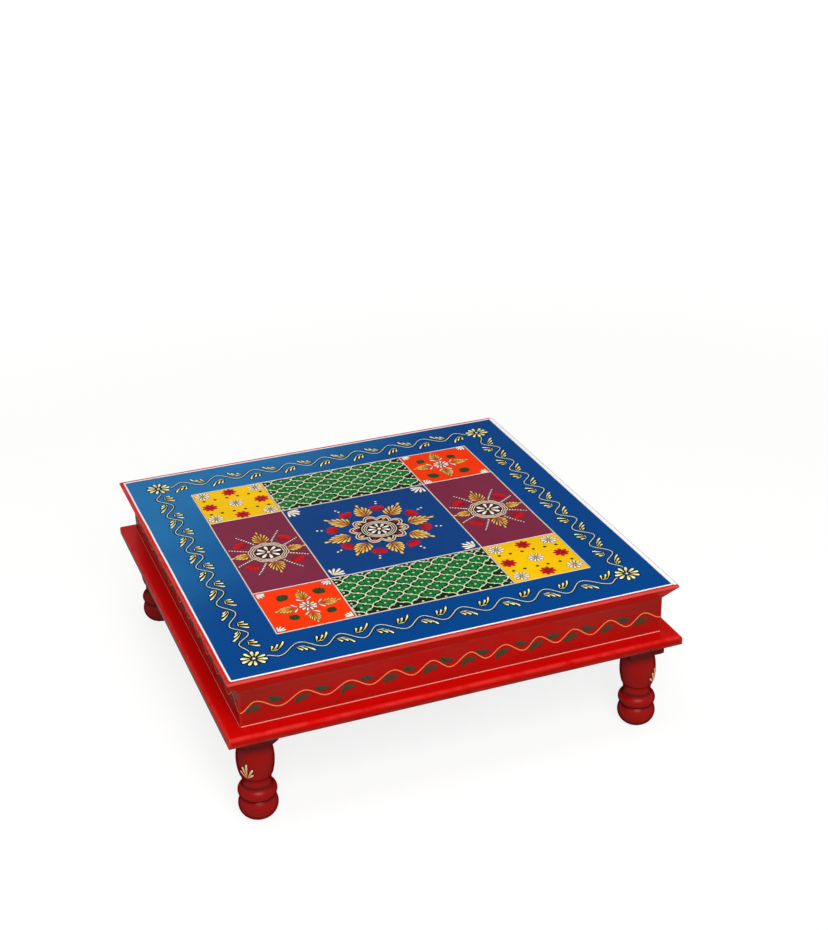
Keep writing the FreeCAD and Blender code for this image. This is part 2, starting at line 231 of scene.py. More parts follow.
def usePaint(g, shader, place, tint, **brush):
    paint = g.add("ShaderNodeGroup", {"node_tree": brushedPaint}, Vector=place, Color=tint, **brush)
    g.feed(shader["Base Color"], paint.outputs["Color"])
    g.feed(shader["Roughness"], paint.outputs["Roughness"])
    g.feed(shader["Normal"], paint.outputs["Normal"])


def wornAndHighlitMask(g, place, node, reach, amount):
    low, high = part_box(node)
    return g.add("ShaderNodeGroup", {"node_tree": edgeWearAndHighlight}, Vector=place, Half=max(high.x, high.y),
                 Low=low.z, High=high.z, Reach=reach, Amount=amount).outputs[0]


# Painted boards, aprons and legs
tile = {
    "columns": (-159.3, -80.5, 81.6, 162.5),
    "rows": (-158.7, -77.8, 84.0, 160.5),
    "edgeLine": 220.4,
    "border": colour(0, 65, 132),
    # A painted sheen: the blue border lighter towards the back left
    "borderSheen": colour(36, 118, 172),
    "sheenSpread": (0.12, 0.4, 0.0, 0.75),
    "yellow": colour(240, 190, 6),
    "orange": colour(244, 54, 6),
    "greenGround": colour(10, 40, 20),
    "maroon": colour(120, 39, 64),
    "blue": colour(12, 60, 122),
    "wobble": 0.0006,
    "faceDeep": 0.0007,
}
enamel = {
    "topEdge": colour(200, 18, 16),
    # A painted highlight on the upper part of the top's bevel, and painted shade on its lower part
    "bevelHighlight": colour(248, 28, 20),
    "bevelShade": colour(216, 44, 36),
    "apron": colour(186, 14, 11),
    "base": colour(200, 6, 4),
    # The legs' red is darker than the aprons' red: painted shade from the table above them
    "leg": colour(152, 9, 6),
    "legFoot": colour(92, 12, 10),
    "legBandShade": colour(52, 4, 4),
    "footTall": 0.008,
    # Height of each band of painted shade round a leg, and half its width, in mm: at its foot, in its grooves
    # and under the base board
    "legShadeBands": ((1.0, 3.0), (22.4, 2.2), (36.5, 3.0), (84.0, 13.0)),
    "legShadeShare": 0.75,
    # Painted shade on the aprons' tops, under the top's overhang
    "overhangShade": colour(146, 44, 38),
    # Painted shade towards the aprons' ends and feet, and on the lower half of the base board's nose
    "paintedShade": colour(120, 30, 22),
    # Worn paint on the arrises, lightened further as a painted highlight
    "thinAndHighlit": colour(226, 100, 90),
    # Metres under the top's face: where the bevel's painted shade gives way to its painted highlight, and
    # that to the nose
    "bevelShadeDepths": (-0.0115, -0.0085),
    "nose": (-0.0045, -0.0025),
    # Metres in from the nose's outer plane: where the paint is worn down and a painted highlight runs along
    # the nose
    "rubbedAndHighlit": (-0.0012, -0.0003),
    "rubbedHighlightShare": 0.6,
    # From one height, or distance along a board, to another, and the share of painted shade at each
    "apronTopShade": (0.122, 0.142, 0.0, 0.6),
    "apronEnds": (0.12, 0.212, 0.0, 0.35),
    "apronFoot": (0.108, 0.12, 0.5, 0.0),
    "baseFoot": (0.0985, 0.105, 1.0, 0.0),
}


def topPaint():
    material, g, shader, place = newMaterial("topPaint", Specular_IOR_Level=0.008)
    cloud = g.add("ShaderNodeTexNoise", Vector=place, Scale=55.0).outputs["Color"]
    shifted = g.vector("ADD", place, g.vector("SCALE", cloud, Scale=tile["wobble"])[0])[0]
    x, y, level = g.split(shifted)
    wander = tile["wobble"] / 2

    def between(value, low, high):
        over = g.math("GREATER_THAN", value, low * mm + wander)
        return g.times(over, g.math("LESS_THAN", value, high * mm + wander))

    def under(value, top, pair, *shares):
        return g.ramp(value, top + pair[0], top + pair[1], *shares)

    columns, rows = tile["columns"], tile["rows"]
    middleColumn = between(x, columns[1], columns[2])
    middleRow = between(y, rows[1], rows[2])
    sameSign = g.math("GREATER_THAN", g.times(x, y), 0.0)
    corner = g.mix(sameSign, tile["yellow"], tile["orange"])
    sides = g.mix(middleRow, corner, tile["maroon"])
    middles = g.mix(middleRow, tile["greenGround"], tile["blue"])
    field = g.mix(middleColumn, sides, middles)
    inField = g.times(between(x, columns[0], columns[3]), between(y, rows[0], rows[3]))
    edge = tile["edgeLine"]
    upper = g.math("GREATER_THAN", level, topFace - tile["faceDeep"])
    inBorder = g.times(upper, g.times(between(x, -edge, edge), between(y, -edge, edge)))
    # Worn paint and a painted highlight on the arrises
    wornAndHighlit = wornAndHighlitMask(g, place, "top_board", 0.0028, 0.6)
    # The bevel under the nose: painted shade low down, a painted highlight above it
    bevel = g.mix(under(level, topFace, enamel["bevelShadeDepths"]), enamel["bevelShade"], enamel["bevelHighlight"])
    bare = g.mix(under(level, topFace, enamel["nose"]), bevel, enamel["topEdge"])
    outermost = g.most(g.math("ABSOLUTE", x), g.math("ABSOLUTE", y))
    # A painted highlight along the nose, with the paint worn there
    rubbedAndHighlit = under(outermost, topBox[1].x, enamel["rubbedAndHighlit"], 0.0, enamel["rubbedHighlightShare"])
    rim = g.mix(g.most(wornAndHighlit, rubbedAndHighlit), bare, enamel["thinAndHighlit"])
    # Painted sheen: the border's blue is lighter towards the back left
    across = g.plus(g.minus(y, x), g.times(g.noise(place, 6.0), 0.16))
    blue = g.mix(g.ramp(across, *tile["sheenSpread"]), tile["border"], tile["borderSheen"])
    tint = g.mix(inBorder, rim, g.mix(inField, blue, field))
    usePaint(g, shader, place, tint, Stretch=(60, 240, 60), Streaks=0.2, Clouds=0.3, Shine=0.3, Depth=0.12)
    return material


def boardPaint(name, node, stretch, wear, shine, reach=0.003):
    material, g, shader, place = newMaterial(name, Specular_IOR_Level=0.03)
    x, y, level = g.split(place)
    patchy = g.ramp(g.noise(place, 18.0, 4.0), 0.25, 0.6)
    wornAndHighlit = wornAndHighlitMask(g, place, node, reach, wear)
    if "apron" in node:
        tint = enamel["apron"]
        across = g.plus(g.math("ABSOLUTE", x), g.math("ABSOLUTE", y))
        # Painted shade on the apron's top, under the top's overhang, mottled by noise
        overhangShade = g.ramp(level, *enamel["apronTopShade"])
        tint = g.mix(g.times(overhangShade, patchy), tint, enamel["overhangShade"])
        # Painted shade towards the apron's ends and along its foot
        ends = g.ramp(g.minus(across, apronFace), *enamel["apronEnds"])
        paintedShade = g.most(ends, g.ramp(level, *enamel["apronFoot"]))
    else:
        tint = enamel["base"]
        # Painted shade on the lower half of the base board's nose
        paintedShade = g.ramp(level, *enamel["baseFoot"])
        patchy = g.ramp(patchy, 0.0, 1.0, 0.6, 1.0)
    tint = g.mix(g.times(paintedShade, patchy), tint, enamel["paintedShade"])
    # Worn paint and a painted highlight on the arrises
    tint = g.mix(wornAndHighlit, tint, enamel["thinAndHighlit"])
    usePaint(g, shader, place, tint, Stretch=stretch, Streaks=0.14, Clouds=0.14, Shine=shine, Depth=0.12)
    return material


def legPaint():
    material, g, shader, place = newMaterial("legPaint", Specular_IOR_Level=0.0, Coat_Roughness=0.28)
    level = g.split(place)[2]
    # Darker towards the floor, and bands of painted shade at the foot, in the grooves and under the base
    # board
    tint = g.mix(g.ramp(level, 0.0, enamel["footTall"]), enamel["legFoot"], enamel["leg"])
    for height, half in enamel["legShadeBands"]:
        away = g.math("ABSOLUTE", g.minus(level, height * mm))
        tint = g.mix(g.ramp(away, 0.0, half * mm, enamel["legShadeShare"], 0.0), tint, enamel["legBandShade"])
    usePaint(g, shader, place, tint, Stretch=(16, 16, 420), Streaks=0.5, Clouds=0.2, Shine=0.24, Depth=0.3)
    facing = g.add("ShaderNodeLayerWeight", Blend=0.5).outputs["Facing"]
    g.feed(shader["Coat Weight"], g.ramp(facing, 0.25, 0.75, 0.24, 0.0))
    return material


def bareWood():
    material, g, shader, place = newMaterial("bareWood", Roughness=0.7, Specular_IOR_Level=0.3)
    grain = g.noise(g.vector("MULTIPLY", place, (300, 40, 300))[0], 1.0, 6.0, 0.65)
    g.feed(shader["Base Color"], g.mix(grain, colour(132, 86, 50), colour(206, 160, 110)))
    g.feed(shader["Normal"], g.bump(0.3, 0.0004, grain))
    return material


def steelFinish():
    material, g, shader, place = newMaterial("steelFinish", Metallic=1.0, Specular_IOR_Level=0.5)
    spots = g.noise(place, 900.0, 4.0, 0.6)
    rusty = g.ramp(spots, 0.45, 0.75)
    g.feed(shader["Base Color"], g.mix(rusty, colour(150, 148, 142), colour(96, 74, 58)))
    g.feed(shader["Roughness"], g.ramp(spots, 0.3, 0.7, 0.3, 0.65))
    return material


def dress(node, material):
    mesh = nodes[node].data
    mesh.materials.clear()
    mesh.materials.append(material)


dress("top_board", topPaint())
dress("base_board", boardPaint("basePaint", "base_board", (90, 90, 300), wear=0.3, shine=0.4, reach=0.004))
for label, stretch, pair in (("Long", (60, 400, 400), ("front", "back")),
                             ("Deep", (400, 60, 400), ("left", "right"))):
    apronCoat = boardPaint(f"apronPaint{label}", f"apron_{pair[0]}", stretch, wear=0.12, shine=0.24)
    for side in pair:
        dress(f"apron_{side}", apronCoat)
legCoat = legPaint()
wood = bareWood()
steel = steelFinish()
for name in nodes:
    if name.startswith("leg_") and name != "leg_wedges":
        dress(name, legCoat)
    elif name.startswith("corner_block") or name == "leg_wedges":
        dress(name, wood)
    elif name.endswith(("screws", "nails")):
        dress(name, steel)
print("frame dressed")


# Raised paint squeezed from a cone: each form is 1 wide, 1 long and 1 high, and grows from a foot at the
# origin. Its skirt is a narrow dark line round each stroke, partly the painter's outline and partly painted
# shade of the raised paint.
def reliefForm(name, segments=10, foot=1.0, flat=False, swell=1.0):
    shape = bmesh.new()
    kinds = shape.verts.layers.float
    along, rim, skirt, _ = [kinds.new(label) for label in ("along", "rim", "skirt", "shade")]
    bmesh.ops.create_cone(shape, cap_ends=True, segments=segments, radius1=0.5, radius2=0.5, depth=0.2)
    crown = max(shape.faces, key=lambda face: face.calc_center_median().z)
    rings = [(0.015, 0.0), (0.05, 0.6)] if flat else [(0.015, 0.0), (0.03, 0.45), (0.14, 0.38)]
    for inset, rise in rings:
        bmesh.ops.inset_individual(shape, faces=[crown], thickness=inset, depth=rise)
    for vert in shape.verts:
        far, level = vert.co.y + 0.5, vert.co.z
        outer = vert.co.xy.length > 0.49
        vert[along], vert[skirt] = far, float(outer)
        # Low sides and skirt are marked for darkening: painted shade of the raised paint with its painted
        # outline
        vert[rim] = float(level < 0.2)
        far = 1 - max(0.0, 1 - far) ** swell
        vert.co = (vert.co.x * (foot + (1 - foot) * min(1.0, far * 1.15)), far, level)
    for face in shape.faces:
        face.smooth = True
    return meshOf(name, shape)


forms = {
    "dot": reliefForm("dotForm", 10),
    "petal": reliefForm("petalForm", 14, foot=0.5, swell=1.4),
    "comma": reliefForm("commaForm", 14, foot=0.42, swell=1.7),
    "stem": reliefForm("stemForm", 8, foot=0.8),
    "stroke": reliefForm("strokeForm", 8, foot=0.6, flat=True),
    "lobe": reliefForm("lobeForm", 10, flat=True),
    "disc": reliefForm("discForm", 32, flat=True),
}


# A face of the table as a drawing plane: x across, y up the drawing, z out of the wood
def drawingPlane(origin, across, up):
    across, up = Vector(across), Vector(up)
    plane = Matrix((across, up, across.cross(up))).transposed().to_4x4()
    return Matrix.Translation(origin) @ plane


topPlane = drawingPlane((0, 0, topFace), (1, 0, 0), (0, 1, 0))
apronPlanes = {
    "front": drawingPlane((0, -apronFace, 0), (1, 0, 0), (0, 0, 1)),
    "right": drawingPlane((apronFace, 0, 0), (0, 1, 0), (0, 0, 1)),
    "back": drawingPlane((0, apronFace, 0), (-1, 0, 0), (0, 0, 1)),
    "left": drawingPlane((-apronFace, 0, 0), (0, -1, 0), (0, 0, 1)),
}


def finishPiece(name, shape, colours):
    material, slot = paint[colours]
    mesh = meshOf(name, shape)
    mesh.materials.append(material)
    piece = linked(name, mesh)
    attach(piece, "root")
    return piece


# One stroke of the cone or brush, in mm and degrees. It grows along its heading and bends to the right.
def mark(form, x, y, heading, length, width, height=0.4, bend=0.0, shade=None):
    return {"form": form, "x": x, "y": y, "heading": heading, "size": (width, length, height), "bend": bend,
            "shade": shade}


def stampMarks(name, marks, colours, seed=1, outline=0.4, plane=topPlane):
    rng = Dice(seed)
    shape = bmesh.new()
    for item in marks:
        first = len(shape.verts)
        shape.from_mesh(forms[item["form"]])
        shape.verts.ensure_lookup_table()
        fresh = shape.verts[first:]
        layers = shape.verts.layers.float
        skirt, shade = layers["skirt"], layers["shade"]
        width, length, height = item["size"]
        tone = rng.random() if item["shade"] is None else item["shade"]
        for vert in fresh:
            if vert[skirt] > 0.5:
                away = Vector((vert.co.x / width, (vert.co.y - 0.5) / length)).normalized() * outline
                vert.co.x += away.x / width
                vert.co.y += away.y / length
                vert.co.z *= 0.4 / max(height, 0.4)
            vert.co.x += item["bend"] * vert.co.y ** 2 / width
            vert[shade] = tone
        scale = Matrix.Diagonal((width * mm, length * mm, height * mm, 1))
        turn = Matrix.Rotation(math.radians(item["heading"] - 90), 4, "Z")
        place = plane @ Matrix.Translation((item["x"] * mm, item["y"] * mm, 0)) @ turn @ scale
        bmesh.ops.transform(shape, matrix=place, verts=fresh)
    return finishPiece(name, shape, colours)


# paths: lists of (x, y) in mm, piped as a round line that is pressed flat, over a wider dark line; that line
# and the darker lower side of the piped line are partly painted outline and partly painted shade
def pipeLines(name, paths, width, height, colours, closed=False, outline=0.45, plane=topPlane):
    shape = bmesh.new()
    for wide, tall, dark in ((width + 2 * outline, 0.06, 1.0), (width, height, 0.0)):
        data = bpy.data.curves.new(name, "CURVE")
        data.dimensions = "3D"
        data.bevel_depth = wide * mm / 2
        data.bevel_resolution = 1
        data.use_fill_caps = True
        for path in paths:
            spline = data.splines.new("POLY")
            spline.points.add(len(path) - 1)
            for point, (x, y) in zip(spline.points, path):
                point.co = (x * mm, y * mm, 0, 1)
            spline.use_cyclic_u = closed
        holder = linked(name, data)
        mesh = bpy.data.meshes.new_from_object(holder.evaluated_get(bpy.context.evaluated_depsgraph_get()))
        bpy.data.objects.remove(holder)
        # Darker towards the foot of the piped line and on the wider line under it: painted shade with the
        # painted outline
        rims = [max(dark, min(0.8, 0.8 - vert.co.z / (wide * mm))) for vert in mesh.vertices]
        for label, values in (("along", [0.8] * len(rims)), ("rim", rims), ("shade", [0.5] * len(rims))):
            mesh.attributes.new(label, "FLOAT", "POINT").data.foreach_set("value", values)
        mesh.transform(plane @ Matrix.Diagonal((1, 1, tall * 2 / wide, 1)))
        shape.from_mesh(mesh)
        bpy.data.meshes.remove(mesh)
    for face in shape.faces:
        face.smooth = True
    return finishPiece(name, shape, colours)


# Relief paint: its colour changes from foot to tip, some has a second tone, and a dark line goes round it;
# that line and the darker low sides of each stroke are partly painted outline and partly painted shade
def reliefPaint(name, foot, tip, outline, outlineShare=0.9, other=None):
    material, g, shader, place = newMaterial(name, Specular_IOR_Level=0.03)
    along, rim, shade = (g.add("ShaderNodeAttribute", {"attribute_name": label}).outputs["Fac"]
                         for label in ("along", "rim", "shade"))
    run = g.ramp(g.plus(along, g.times(g.noise(place, 700.0), 0.3)), 0.2, 1.0)
    tint = g.mix(run, colour(*foot), colour(*tip))
    if other:
        patchy = g.plus(shade, g.times(g.noise(place, 300.0), 0.3))
        tint = g.mix(g.ramp(patchy, 0.3, 1.1), tint, colour(*other))
    tone = g.add("ShaderNodeHueSaturation", Color=tint, Value=g.plus(0.93, g.times(shade, 0.1)))
    # Painted shade with the painted outline: darker on the low sides of each stroke and on its skirt
    edge = g.times(g.ramp(rim, 0.45, 0.95), outlineShare)
    g.feed(shader["Base Color"], g.mix(edge, tone.outputs[0], colour(*outline)))
    grain = g.noise(place, 1500.0, 2.0)
    g.feed(shader["Roughness"], g.plus(0.4, g.times(grain, 0.2)))
    g.feed(shader["Normal"], g.bump(0.2, 0.0002, grain))
    return material


# Material name, slot, the colours at foot and tip and of the line round them, that line's share, second tone
# Colours of the dark line round the raised paint, which is partly painted outline and partly painted shade
inkAndShade, bark = (4, 12, 22), (58, 14, 8)
cream, white, coloured, orange = ("cream_relief_paint", "white_relief_paint", "coloured_relief_paint",
                                  "orange_line_paint")
reliefPaints = {
    "cream": ("creamRelief", cream, (206, 196, 118), (255, 253, 202), inkAndShade, 1.0),
    "gold": ("goldRelief", cream, (206, 132, 40), (250, 210, 112), bark),
    "peach": ("peachRelief", cream, (236, 150, 100), (255, 216, 160), (52, 6, 6), 1.0),
    "white": ("whiteRelief", white, (222, 206, 184), (255, 252, 240), bark),
    "vine": ("vineRelief", cream, (160, 184, 194), (190, 208, 210), inkAndShade, 1.0),
    "edge": ("edgeRelief", white, (236, 230, 232), (252, 248, 248), (96, 84, 112), 0.5),
    "line": ("lineRelief", white, (218, 202, 192), (236, 220, 210), (50, 44, 60), 0.7),
    "lattice": ("latticeRelief", cream, (196, 208, 160), (226, 232, 190), (4, 30, 14), 0.9),
    "beige": ("beigeRelief", cream, (214, 186, 158), (232, 210, 184), bark),
    "plum": ("plumGround", coloured, (60, 22, 30), (52, 18, 26), (74, 26, 40), 0.6),
    "night": ("nightGround", coloured, (8, 16, 36), (10, 14, 30), (10, 30, 62), 0.6),
    "stalk": ("stalkStrokes", coloured, (12, 50, 44), (16, 66, 52), (8, 30, 40), 0.6),
    "red": ("redStrokes", coloured, (150, 6, 18), (200, 14, 22), (110, 8, 16), 0.7),
    "green": ("greenLobes", coloured, (0, 98, 38), (0, 122, 50), (2, 52, 22), 0.6),
    "leaf": ("leafStrokes", coloured, (58, 44, 12), (26, 62, 22), (40, 34, 10), 0.5),
    "spot": ("spotPaint", coloured, (52, 26, 6), (66, 34, 8), (90, 50, 6), 0.5),
    "apronLeaf": ("apronLeafStrokes", coloured, (76, 62, 44), (52, 74, 46), (112, 32, 26), 0.7,
                  (112, 54, 46)),
    "apronVine": ("apronVineLine", orange, (246, 112, 66), (252, 134, 84), (120, 6, 4), 0.8),
    "pinkLine": ("pinkLine", orange, (252, 144, 128), (255, 156, 142), (120, 6, 4), 0.8),
}
paint = {key: (reliefPaint(name, *look), slot) for key, (name, slot, *look) in reliefPaints.items()}
print("relief paints mixed")


def wobblyLine(start, end, seed, step=3.0, amount=0.22):
    rng = Dice(seed)
    start, end = Vector(start), Vector(end)
    count = max(2, int((end - start).length / step))
    side = (end - start).orthogonal().normalized()
    phases = [(rng.uniform(0.02, 0.09), rng.uniform(0, 6.28)) for _ in range(3)]
    points = []
    for index in range(count + 1):
        point = start.lerp(end, index / count)
        sway = sum(math.sin(rate * step * index + phase) for rate, phase in phases) / 3
        points.append(tuple(point + side * sway * amount))
    return points


def around(x, y, radius, angle):
    out = math.radians(angle)
    return x + radius * math.cos(out), y + radius * math.sin(out)


# A wave through its own crests and troughs, eased between them
def wavePath(turns, step=1.0):
    points = []
    for (x0, y0), (x1, y1) in zip(turns, turns[1:]):
        count = max(2, int(abs(x1 - x0) / step))
        for index in range(count):
            share = index / count
            ease = (1 - math.cos(math.pi * share)) / 2
            points.append((x0 + (x1 - x0) * share, y0 + (y1 - y0) * ease))
    return points + [turns[-1]]


# Lines of the top
topLines = {"edge": (1.7, 0.3), "wide": (3.9, 0.2), "wideShift": 2.1, "tile": (1.1, 0.35)}


def makeTopLines():
    edge = tile["edgeLine"]
    columns, rows = tile["columns"], tile["rows"]
    square = [(-edge, -edge), (edge, -edge), (edge, edge), (-edge, edge)]
    ends = zip(square, square[1:] + square[:1])
    outer = [wobblyLine(*pair, 3 + index) for index, pair in enumerate(ends)]
    pipeLines("top_edge_lines", outer, *topLines["edge"], "edge")
    over = edge + topLines["wideShift"]
    wide = [wobblyLine((over, -over), (over, over), 8)]
    pipeLines("top_edge_line_right", wide, *topLines["wide"], "edge", outline=0.0)
    inner = [wobblyLine((x, rows[0]), (x, rows[3]), 11 + index) for index, x in enumerate(columns)]
    inner += [wobblyLine((columns[0], y), (columns[3], y), 21 + index) for index, y in enumerate(rows)]
    pipeLines("tile_lines", inner, *topLines["tile"], "line")


makeTopLines()
print("top lines piped")


# Blue border: vine, clusters and corner flowers. Each side is drawn in its own turn of the frame, from the
# flower at its left end to the next one, as seen from that edge.
border = {
    "line": -188.0,
    "stroke": (2.2, 0.42),
    "vine": (1.3, 0.35),
    # Width of the dark line round the vine, and below that round the petals: partly painted outline, partly
    # painted shade
    "vineDarkLine": 1.2,
    "stem": (0.8, 0.3),
    "petals": 10,
    "firstPetal": 16,
    "flowerReach": 12.4,
    "flowerHeart": 3.4,
    "petalSize": (3.6, 0.5),
    "petalDarkLine": 1.25,
    "heart": (2.8, 0.6),
}
borderSides = (
    {"flower": (-191.0, -192.0), "start": (-178.4, -191.6), "end": (176.7, -188.9), "swing": (-8.4, 7.2),
     "troughs": (-168.3, -125.0, -86.7, -45.6, -6.4, 37.6, 80.2, 120.6, 166.1),
     "crests": (-145.0, -106.2, -67.8, -24.0, 15.6, 59.6, 102.0, 142.0), "clusters": "wide"},
    {"flower": (-184.4, -189.4), "start": (-171.5, -192.0), "end": (176.5, -190.0), "swing": (-9.4, 4.4),
     "troughs": (-137.9, -97.5, -57.0, -18.0, 21.5, 61.0, 100.5, 139.5),
     "crests": (-156.4, -117.0, -77.5, -38.0, 1.5, 41.0, 80.5, 120.0, 158.0), "clusters": "close"},
    {"flower": (-190.0, -189.0), "start": (-177.5, -189.0), "end": (175.5, -188.6), "swing": (-9.2, 6.0),
     "troughs": (-166.0, -124.0, -84.0, -43.0, -3.0, 38.0, 79.0, 121.0, 162.5),
     "crests": (-145.0, -104.0, -63.0, -22.0, 18.0, 59.0, 100.0, 141.6), "clusters": "wide"},
    {"flower": (-190.6, -188.8), "start": (-176.9, -190.0), "end": (178.9, -191.7), "swing": (-8.2, 4.3),
     "troughs": (-163.8, -118.8, -78.6, -35.0, 3.6, 43.6, 83.3, 128.9, 164.4),
     "crests": (-142.5, -102.0, -58.6, -17.9, 21.4, 61.8, 105.6, 146.7), "clusters": "close"},
)
# Clusters at the troughs and at the crests: a thin stem, then three strokes, each as across, up, heading,
# length and bend
clusters = {
    "wide": (((-5.0, 2.3, -3, 7.6, -0.4), (-4.7, 2.6, 62, 8.4, -0.9), (-1.4, 2.8, 54, 9.4, -1.0),
              (1.8, 2.2, 46, 14.6, -2.8)),
             ((-5.4, -1.2, 14, 8.6, 2.4), (-5.0, -1.6, -48, 7.0, 0.7), (-1.2, -1.0, -49, 9.4, 1.0),
              (2.4, -1.2, -50, 12.8, 1.9))),
    "close": (((-4.6, 0.6, -5, 7.4, 0.2), (-4.0, 1.0, 88, 5.8, 0.2), (-1.0, 0.8, 70, 8.4, -0.5),
               (2.4, 0.2, 42, 10.8, -2.2)),
              ((-7.0, -2.3, 6, 6.0, 0.6), (-6.8, -2.8, -46, 6.4, 0.4), (-4.0, -2.6, -40, 10.0, 0.9),
               (-1.0, -2.2, -30, 14.4, 2.6))),
}


def makeBorder():
    petals, vines, hearts = [], [], []
    line, heart = border["line"], border["flowerHeart"]
    for quarter, side in enumerate(borderSides):
        rng = Dice(40 + quarter)
        turn = Matrix.Rotation(math.radians(90 * quarter), 2)
        low, high = side["swing"]
        turns = [(x, line + low + rng.shake(0.6)) for x in side["troughs"]]
        turns += [(x, line + high + rng.shake(0.6)) for x in side["crests"]]
        turns = [side["start"]] + sorted(turns) + [side["end"]]
        vines.append([tuple(turn @ Vector(point)) for point in wavePath(turns)])
        marks = []
        for places, (stem, *strokes) in zip((side["troughs"], side["crests"]), clusters[side["clusters"]]):
            for x in places:
                dx, dy, heading, length, bend = stem
                marks.append(mark("stem", x + dx, line + dy, heading, length, *border["stem"], bend))
                for dx, dy, heading, length, bend in strokes:
                    marks.append(mark("comma", x + dx, line + dy, heading + rng.shake(4),
                                      length * rng.uniform(0.92, 1.06), *border["stroke"], bend))
        flowerX, flowerY = side["flower"]
        for index in range(border["petals"]):
            angle = 360 / border["petals"] * index + border["firstPetal"] + rng.shake(4)
            reach = border["flowerReach"] - heart + rng.shake(0.7)
            foot = around(flowerX, flowerY, heart, angle)
            marks.append(mark("petal", *foot, angle, reach, *border["petalSize"]))
        wide, tall = border["heart"]
        hearts.append(mark("dot", flowerX - wide / 2, flowerY, 0, wide, wide, tall))
        for item in marks + hearts[-1:]:
            item["x"], item["y"] = turn @ Vector((item["x"], item["y"]))
            item["heading"] += 90 * quarter
        petals += marks
    pipeLines("border_vine", vines, *border["vine"], "vine", outline=border["vineDarkLine"])
    stampMarks("border_petals", petals, "cream", 5, border["petalDarkLine"])
    stampMarks("corner_flower_hearts", hearts, "white", 6)


makeBorder()
print("border piped")


# Flowers and feathers of the tiles
def ringMarks(form, x, y, count, inner, reach, width, height, start, jitter, rng):
    angles = [start + 360 / count * index + rng.shake(jitter) for index in range(count)]
    return [mark(form, *around(x, y, inner, angle), angle, reach - inner, width, height) for angle in angles]


# The pieces of one tile: what each is called, its marks, its paint and the width of the line round them
def stampTile(prefix, seed, *pieces):
    for label, marks, colours, outline in pieces:
        stampMarks(f"{prefix}_{label}", marks, colours, seed, outline)


def dotMark(x, y, size, height=0.35):
    return mark("dot", x, y - size / 2, 90, size, size, height)


def discMark(x, y, radius):
    return mark("disc", x, y - radius, 90, radius * 2, radius * 2, 0.07)


# A spine, one long stroke at its tip and pairs that leave it to each side, as shares of the feather's size
feather = {"spine": (0.75, 0.5, 0.7), "tip": (0.34, 1.15), "pairHeight": 0.9, "bend": 0.1,
           "pairs": ((0.0, 0.40, 66), (0.09, 0.46, 54), (0.20, 0.48, 42), (0.33, 0.44, 30))}


def featherMarks(x, y, heading, start, length, width, height=0.45):
    x, y = around(x, y, start, heading)
    foot, along = Vector((x, y)), Vector(around(0, 0, 1, heading)) * length
    far, wide, tall = feather["spine"]
    marks = [mark("stem", x, y, heading, length * far, width * wide, height * tall)]
    far, wide = feather["tip"]
    marks.append(mark("petal", *(foot + along * (1 - far)), heading, length * far, width * wide, height))
    for share, size, lean in feather["pairs"]:
        for side in (1, -1):
            marks.append(mark("comma", *(foot + along * share), heading + side * lean, length * size, width,
                              height * feather["pairHeight"], side * length * feather["bend"]))
    return marks


# Strokes that spread from one foot: those that lean more are shorter, and each may lie over the last
def fanMarks(form, x, y, heading, length, width, count, spread, shorten, height=0.4, rise=0.0):
    leans = [(index / (count - 1) - 0.5) * 2 * spread for index in range(count)]
    return [mark(form, x, y, heading + lean, length * (1 - abs(lean) / shorten), width, height + rise * index)
            for index, lean in enumerate(leans)]


# A fan of strokes near one corner of a tile
def cornerSprig(x, y, quarter, inset, *fan):
    across, up = ((1, 1), (-1, 1), (-1, -1), (1, -1))[quarter]
    return fanMarks("petal", x + inset * across, y + inset * up, 90 * quarter + 225, *fan)


# A brushed bloom: strokes side by side, the middle ones longest
bloom = {"count": 6, "taper": 1.5, "spacing": 0.7, "turn": 34, "overlap": 1.5, "height": 0.1, "rise": 0.02}


def bloomMarks(x, y, heading, start, length, share):
    heart, along = Vector(around(x, y, start, heading)), Vector(around(0, 0, 1, heading))
    count, width = bloom["count"], length * share
    marks = []
    for index in range(count):
        offset = index / (count - 1) - 0.5
        size = length * (1 - bloom["taper"] * offset ** 2)
        foot = heart + along.orthogonal() * offset * width * bloom["spacing"] - along * size / 2
        marks.append(mark("stroke", *foot, heading + offset * bloom["turn"], size,
                          width / count * bloom["overlap"], bloom["height"] + bloom["rise"] * (index % 3)))
    return marks


left, centre, right = ((low + high) / 2 for low, high in zip(tile["columns"], tile["columns"][1:]))
front, middle, back = ((low + high) / 2 for low, high in zip(tile["rows"], tile["rows"][1:]))

# Flowers: number of petals, where they start and end, their width and height
daisyTile = {"spacing": 29.0, "daisy": (10, 1.4, 8.2, 2.1, 0.45), "red": (8, 0.4, 8.4, 4.6, 0.14),
             "dotRow": 17.0, "dotStep": 12.6, "dot": (3.3, 0.2)}


def makeDaisyTile(label, x, y, seed):
    rng = Dice(seed)
    white, red, dots = [], [], []
    step = daisyTile["spacing"]
    for column in (-1, 0, 1):
        for row in (-1, 0, 1):
            placeX = x + column * step + rng.shake(0.8)
            placeY = y + row * step + rng.shake(0.8)
            if (column + row) % 2 == 0:
                white += ringMarks("petal", placeX, placeY, *daisyTile["daisy"], rng.uniform(0, 36), 3, rng)
            else:
                red += ringMarks("stroke", placeX, placeY, *daisyTile["red"], rng.uniform(0, 40), 4, rng)
    for row in (-1, 1):
        for index in range(6):
            placeX = x + (index - 2.5) * daisyTile["dotStep"] + rng.shake(0.8)
            dots.append(dotMark(placeX, y + row * daisyTile["dotRow"], *daisyTile["dot"]))
    stampTile(f"yellow_tile_{label}", seed, ("daisies", white, "white", 0.6),
              ("red_flowers", red, "red", 0.2), ("dots", dots, "spot", 0.2))


